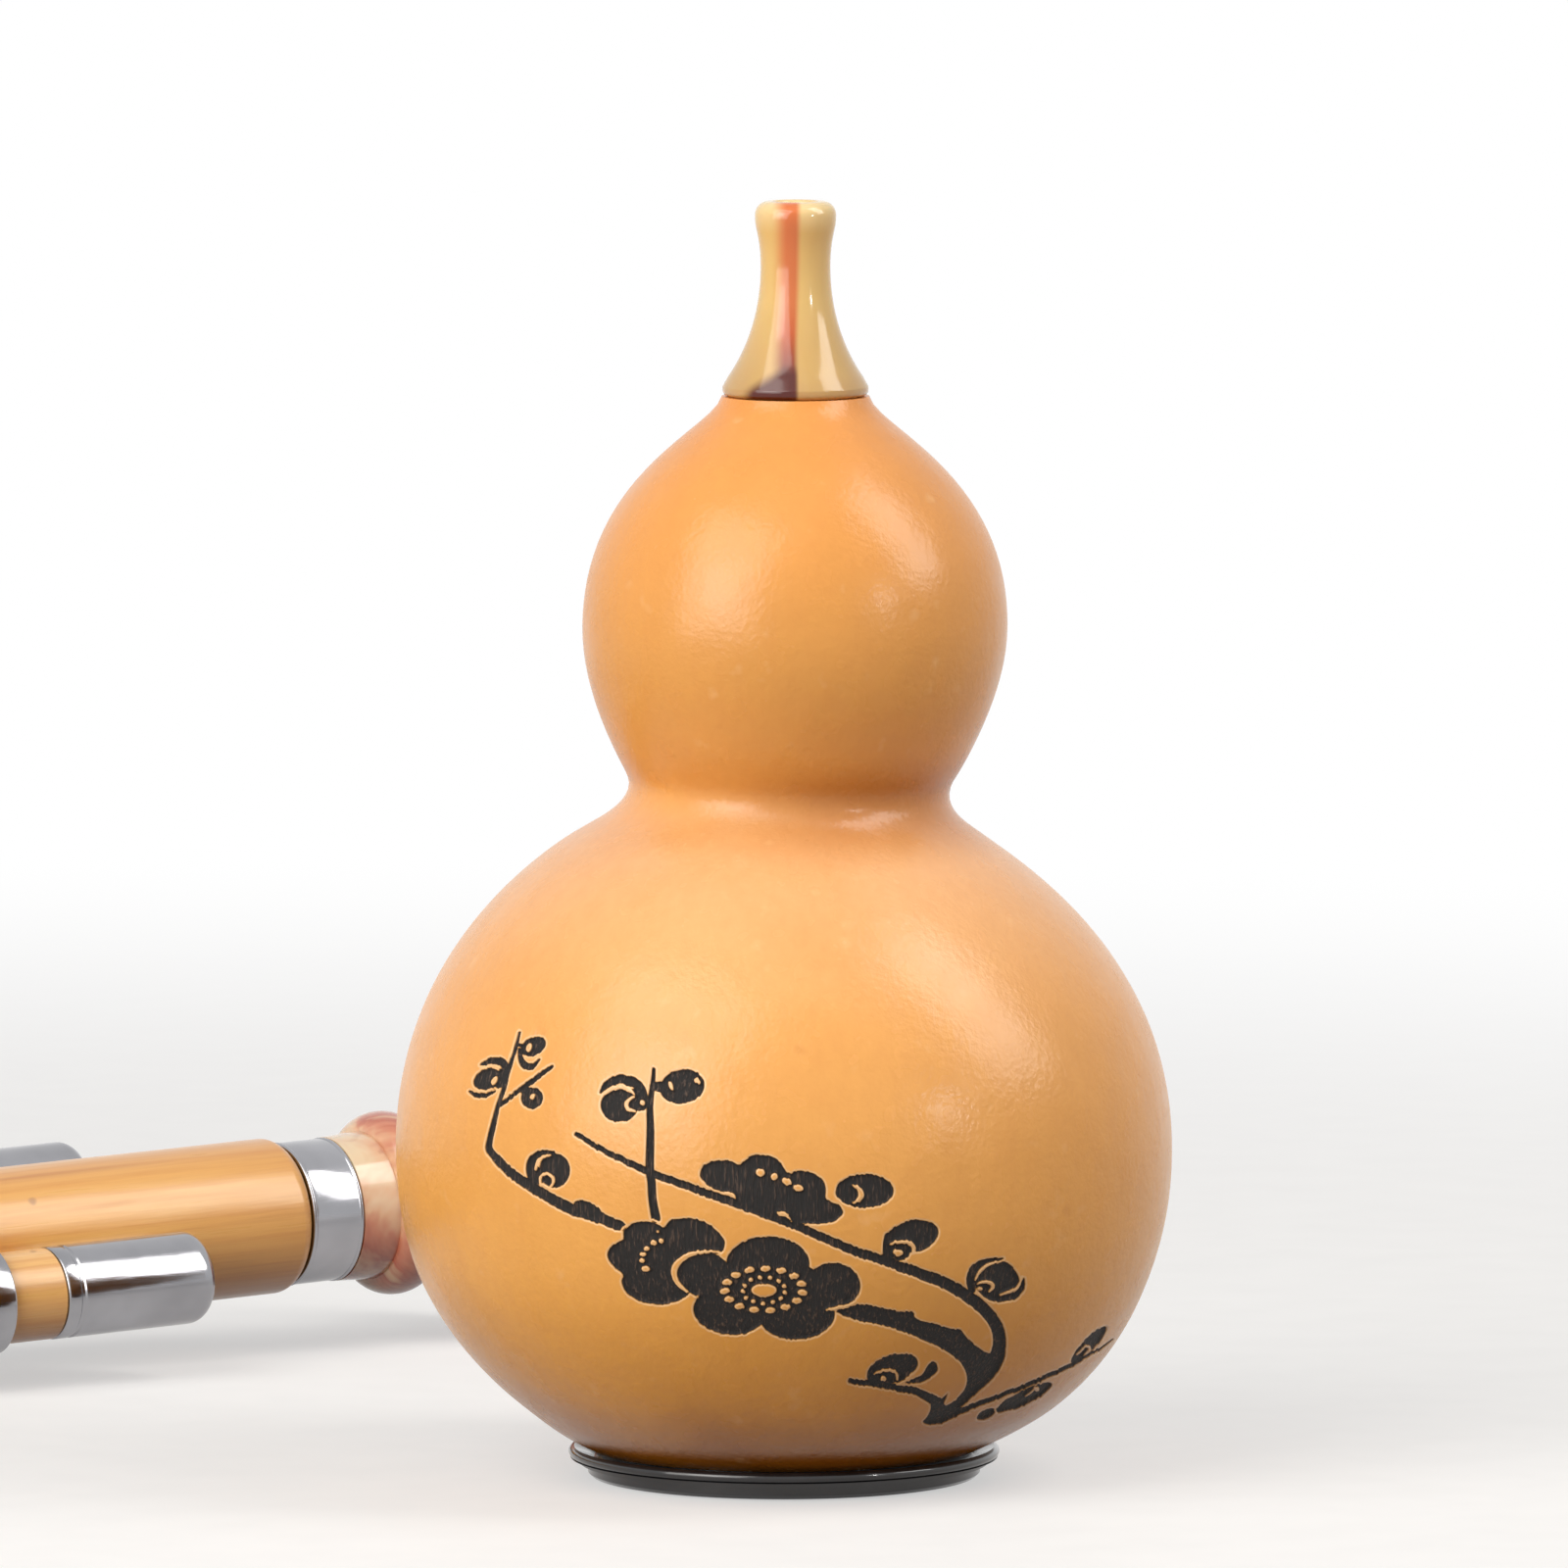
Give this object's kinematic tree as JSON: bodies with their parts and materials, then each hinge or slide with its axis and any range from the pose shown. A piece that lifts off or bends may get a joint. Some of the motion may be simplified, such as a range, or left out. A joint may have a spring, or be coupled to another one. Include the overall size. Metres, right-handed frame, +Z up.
{
  "type": "hulusi",
  "caption": "Gourd free-reed pipe taken apart: double gourd with mouthpiece on its base collar, and the bound bamboo melody and drone pipes with reed heads lying behind it.",
  "frame": {"origin": "on the floor, under the middle of the bounding box of the whole laid-out set", "axes": "+Z up; -Y is the front, towards the picture's camera, with the gourd's carved side; +X is to the right and along the longest extent"},
  "size_m": [0.3426, 0.2018, 0.1559],
  "materials": {
    "gourd_skin": "satin lacquer over the natural skin",
    "black_resin": "polished",
    "agate_resin": "polished, with red veins",
    "red_agate_resin": "polished, with cream veins",
    "cork": "matt",
    "bamboo": "satin",
    "silver_plate": "polished",
    "reed_resin": "satin",
    "reed_brass": "satin"
  },
  "bodies": {
    "gourd": {"gourd_shell": "gourd_skin", "base_collar": "black_resin"},
    "mouthpiece": {"mouthpiece": "agate_resin", "mouthpiece_cork": "cork"},
    "pipe_set": {"main_pipe": "bamboo", "tail_ferrule": "silver_plate", "tail_bell": "red_agate_resin", "left_drone_pipe": "bamboo", "right_drone_pipe": "bamboo", "upper_band": "silver_plate", "lower_band": "silver_plate", "main_reed_tube": "reed_resin", "main_reed_plate": "reed_brass", "main_reed_plug": "reed_resin", "main_socket_cork": "cork", "left_reed_tube": "reed_resin", "left_reed_plate": "reed_brass", "left_reed_plug": "reed_resin", "left_socket_cork": "cork", "right_reed_tube": "reed_resin", "right_reed_plate": "reed_brass", "right_reed_plug": "reed_resin", "right_socket_cork": "cork"},
    "left_stopper": {"left_drone_stopper": "silver_plate"},
    "right_stopper": {"right_drone_stopper": "silver_plate"},
    "main_tongue": {"main_reed_tongue": "reed_brass"},
    "left_tongue": {"left_reed_tongue": "reed_brass"},
    "right_tongue": {"right_reed_tongue": "reed_brass"}
  },
  "joints": [
    {"name": "mouthpiece_pull", "type": "slide", "parent": "gourd", "child": "mouthpiece", "axis": [0, 0, 1], "range_m": [0, 0.012]},
    {"name": "pipe_set_lift", "type": "slide", "parent": "gourd", "child": "pipe_set", "axis": [0, 0, 1], "range_m": [0, 0.08]},
    {"name": "left_stopper_pull", "type": "slide", "parent": "pipe_set", "child": "left_stopper", "axis": [0.8476, 0.5296, 0.0336], "range_m": [0, 0.01]},
    {"name": "right_stopper_pull", "type": "slide", "parent": "pipe_set", "child": "right_stopper", "axis": [0.8476, 0.5296, 0.0336], "range_m": [0, 0.01]},
    {"name": "main_tongue_flex", "type": "hinge", "parent": "pipe_set", "child": "main_tongue", "pos_m": [-0.15875, -0.0744, 0.01375], "axis": [-0.519, 0.814, 0.2607], "range_deg": [-4, 4], "stiffness_Nm_per_rad": 0.002},
    {"name": "left_tongue_flex", "type": "hinge", "parent": "pipe_set", "child": "left_tongue", "pos_m": [-0.14249, -0.08217, 0.00862], "axis": [-0.519, 0.814, 0.2607], "range_deg": [-4, 4], "stiffness_Nm_per_rad": 0.001},
    {"name": "right_tongue_flex", "type": "hinge", "parent": "pipe_set", "child": "right_tongue", "pos_m": [-0.1592, -0.05595, 0.01701], "axis": [-0.519, 0.814, 0.2607], "range_deg": [-4, 4], "stiffness_Nm_per_rad": 0.001}
  ]
}
